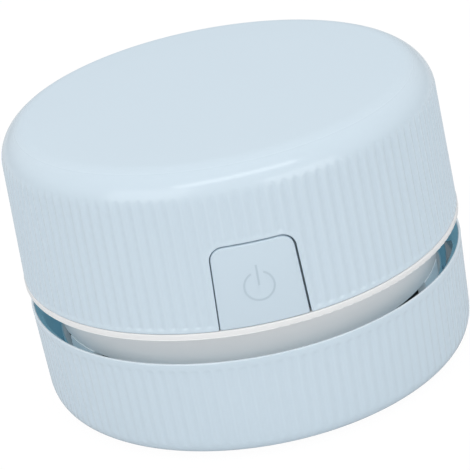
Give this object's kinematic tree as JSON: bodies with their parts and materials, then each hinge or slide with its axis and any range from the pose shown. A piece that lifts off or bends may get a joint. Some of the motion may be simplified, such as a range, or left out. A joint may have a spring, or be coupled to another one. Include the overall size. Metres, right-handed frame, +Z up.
{
  "type": "desktop mini vacuum cleaner",
  "caption": "Puck-shaped desktop vacuum cleaner: ribbed head with push button, all-round exhaust gap, twist-off dust cup with brush inlet.",
  "frame": {"origin": "on the desk, under the axis of the round body, at the soles of the feet", "axes": "+Z up along the axis of the round body; -Y towards the power button; +X to the right of it"},
  "size_m": [0.0842, 0.0842, 0.0551],
  "materials": {
    "blue_shell": "glossy pale blue ABS with fine upright ribs",
    "blue_button": "smooth satin pale blue ABS",
    "foot_rubber": "soft grey rubber",
    "white_plastic": "satin white ABS",
    "black_plastic": "matt black plastic",
    "bristle_nylon": "fine black nylon bristles",
    "screw_steel": "bright zinc plated steel",
    "seal_rubber": "soft black rubber",
    "filter_cloth": "white non-woven filter cloth",
    "drum_plastic": "satin white ABS",
    "motor_steel": "zinc plated drawn steel",
    "contact_brass": "bare brass",
    "cell_wrap": "shrunk plastic sleeve",
    "board_green": "green solder mask",
    "lens_clear": "clear light pipe",
    "lead_red": "red PVC insulation",
    "lead_black": "black PVC insulation"
  },
  "bodies": {
    "base": {"dust_cup": "blue_shell", "bowl_ring": "white_plastic", "foot_pads": "foot_rubber", "inlet_plate": "white_plastic", "brush_ring": "black_plastic", "bristle_tufts": "bristle_nylon", "inlet_screws": "screw_steel"},
    "seal": {"bowl_seal": "seal_rubber"},
    "head": {"top_shell": "blue_shell", "filter_frame": "white_plastic", "filter_mesh": "filter_cloth", "fan_floor": "drum_plastic", "floor_screws": "screw_steel", "drum": "drum_plastic", "mid_frame": "drum_plastic", "motor_can": "motor_steel", "motor_bushing": "contact_brass", "motor_end_cap": "black_plastic", "motor_terminals": "contact_brass", "motor_screws": "screw_steel", "battery_cell": "cell_wrap", "battery_tabs": "screw_steel", "battery_clip": "black_plastic", "main_board": "board_green", "board_screws": "screw_steel", "board_parts": "black_plastic", "usb_socket": "screw_steel", "charge_led": "lens_clear", "led_lens": "lens_clear", "switch_body": "black_plastic", "shell_screws": "screw_steel", "motor_lead_red": "lead_red", "motor_lead_black": "lead_black", "battery_lead_red": "lead_red", "battery_lead_black": "lead_black", "switch_lead_red": "lead_red", "switch_lead_black": "lead_black"},
    "button": {"power_button": "blue_button", "switch_plunger": "white_plastic"},
    "rotor": {"impeller": "white_plastic", "motor_shaft": "screw_steel"}
  },
  "joints": [
    {"name": "head_lift", "type": "slide", "parent": "base", "child": "seal", "axis": [0, 0, 1], "range_m": [0, 0.03]},
    {"name": "head_turn", "type": "hinge", "parent": "seal", "child": "head", "pos_m": [0, 0, 0], "axis": [0, 0, 1], "range_deg": [0, 13.5]},
    {"name": "button_press", "type": "slide", "parent": "head", "child": "button", "axis": [0, 1, 0], "range_m": [0, 0.0012], "stiffness_N_per_m": 400},
    {"name": "impeller_spin", "type": "hinge", "parent": "head", "child": "rotor", "pos_m": [0, 0, 0.02], "axis": [0, 0, 1], "continuous": true}
  ]
}
